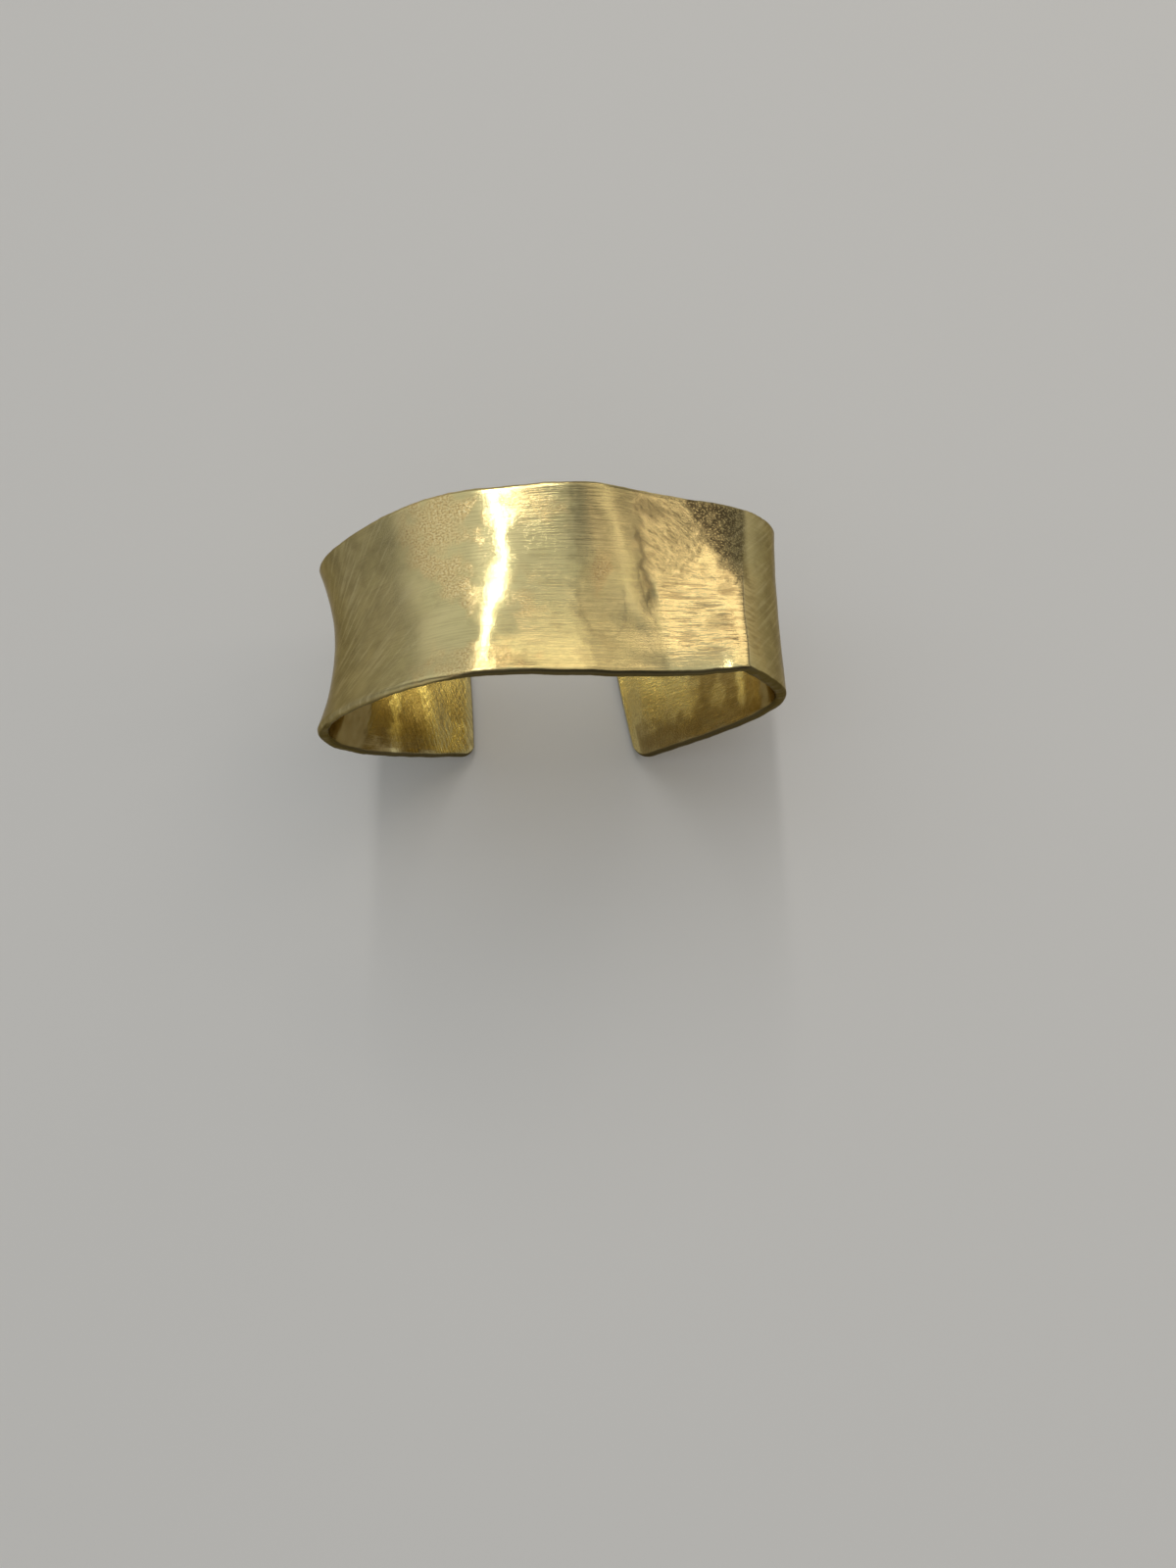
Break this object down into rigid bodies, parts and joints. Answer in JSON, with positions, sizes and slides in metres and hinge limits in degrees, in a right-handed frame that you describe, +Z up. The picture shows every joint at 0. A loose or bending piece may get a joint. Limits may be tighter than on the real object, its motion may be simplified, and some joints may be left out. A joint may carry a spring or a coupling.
{
  "type": "cuff bracelet",
  "caption": "Open brass cuff bracelet, hand bent from one flat strip, dished across its width, with slanting arms that end in rounded corners.",
  "frame": {"origin": "centre of the footprint, on the surface that the two ends stand on", "axes": "+Z up through the crown, +Y along the way a wrist or stake passes through the bend and away from the front rim, +X across the arms towards the side with the sharp shoulder"},
  "size_m": [0.062, 0.0244, 0.0498],
  "materials": {
    "brass": "polished and brushed by hand, with hammer marks, fine pits and a light patina"
  },
  "bodies": {
    "root": {"cuff_band": "brass"}
  },
  "joints": []
}
